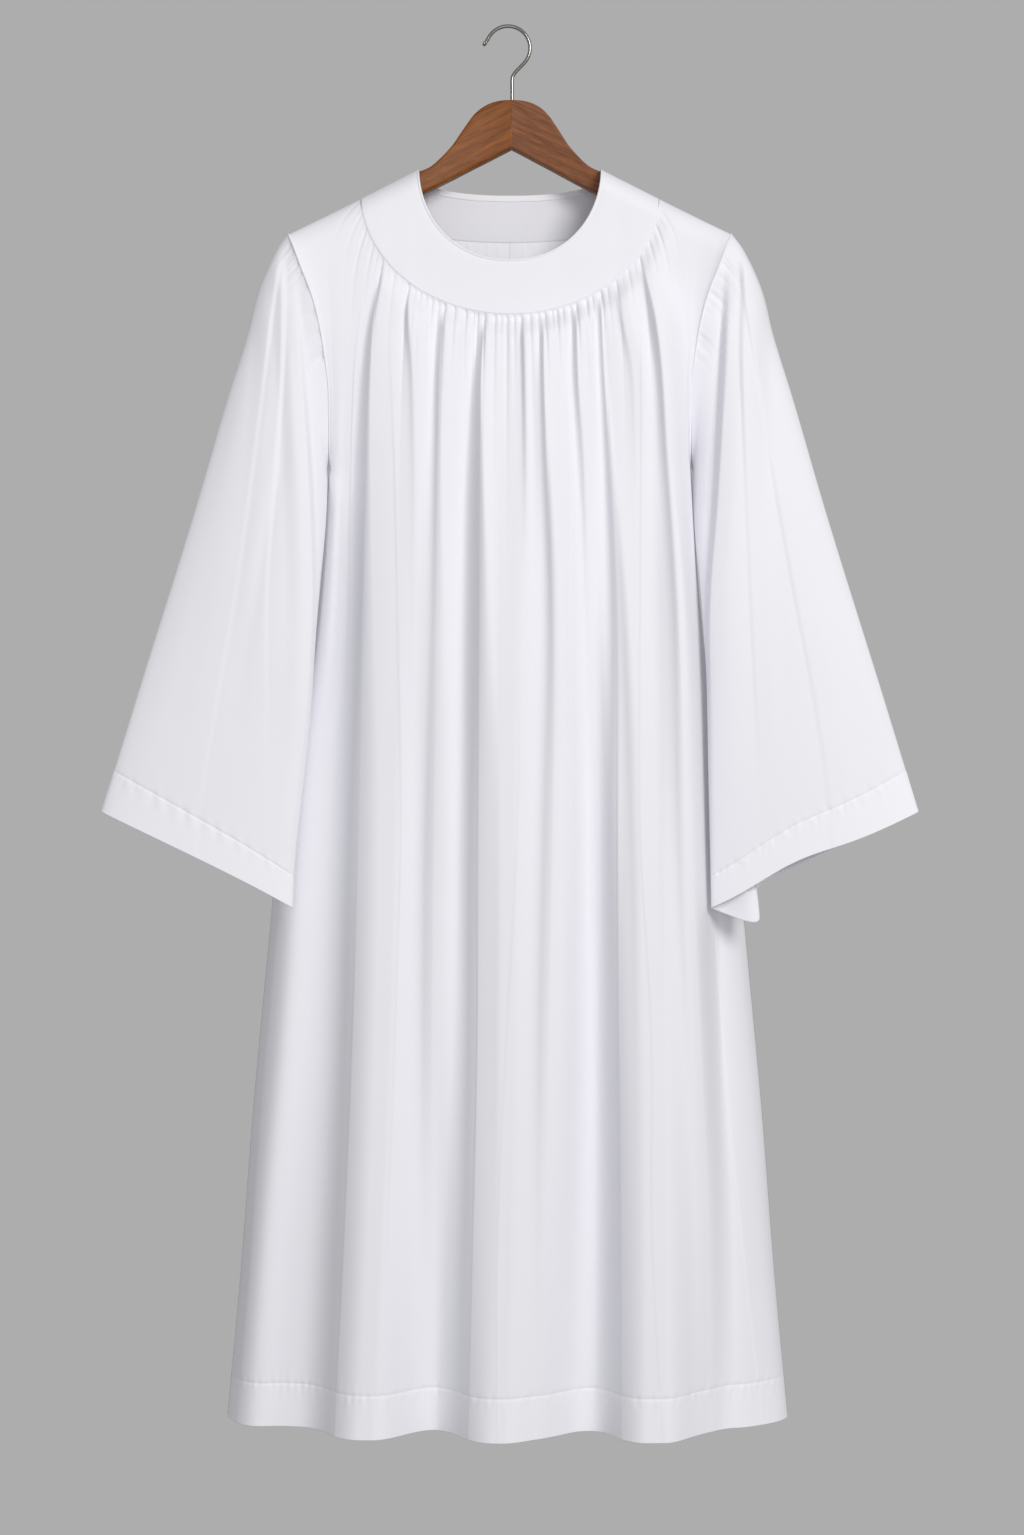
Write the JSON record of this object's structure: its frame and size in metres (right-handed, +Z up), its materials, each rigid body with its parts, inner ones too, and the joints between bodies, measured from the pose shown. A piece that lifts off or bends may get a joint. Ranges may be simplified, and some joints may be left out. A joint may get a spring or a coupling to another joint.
{
  "type": "surplice on a wooden hanger",
  "caption": "Long white surplice with a round yoke, gathered front and back and wide bell sleeves, hanging open on a wooden coat hanger with a steel wire hook.",
  "frame": {"origin": "inside top of the hook's bow, where the wire rests on a peg or rail", "axes": "+Z up, +X to the right as seen from the garment's front, -Y towards the front"},
  "size_m": [0.8008, 0.2445, 1.3998],
  "materials": {
    "white_cloth": "plain-weave polycotton, soft satin",
    "wood_left": "stained and satin varnished",
    "wood_right": "stained and satin varnished",
    "hook_wire": "polished, nickel plated wire"
  },
  "bodies": {
    "root": {"front_panel": "white_cloth", "back_panel_left": "white_cloth", "back_panel_right": "white_cloth", "yoke_front": "white_cloth", "yoke_back_left": "white_cloth", "yoke_back_right": "white_cloth", "neck_facing": "white_cloth", "sleeve_left": "white_cloth", "sleeve_right": "white_cloth", "hanger_arm_left": "wood_left", "hanger_arm_right": "wood_right", "hanger_hook": "hook_wire"}
  },
  "joints": []
}
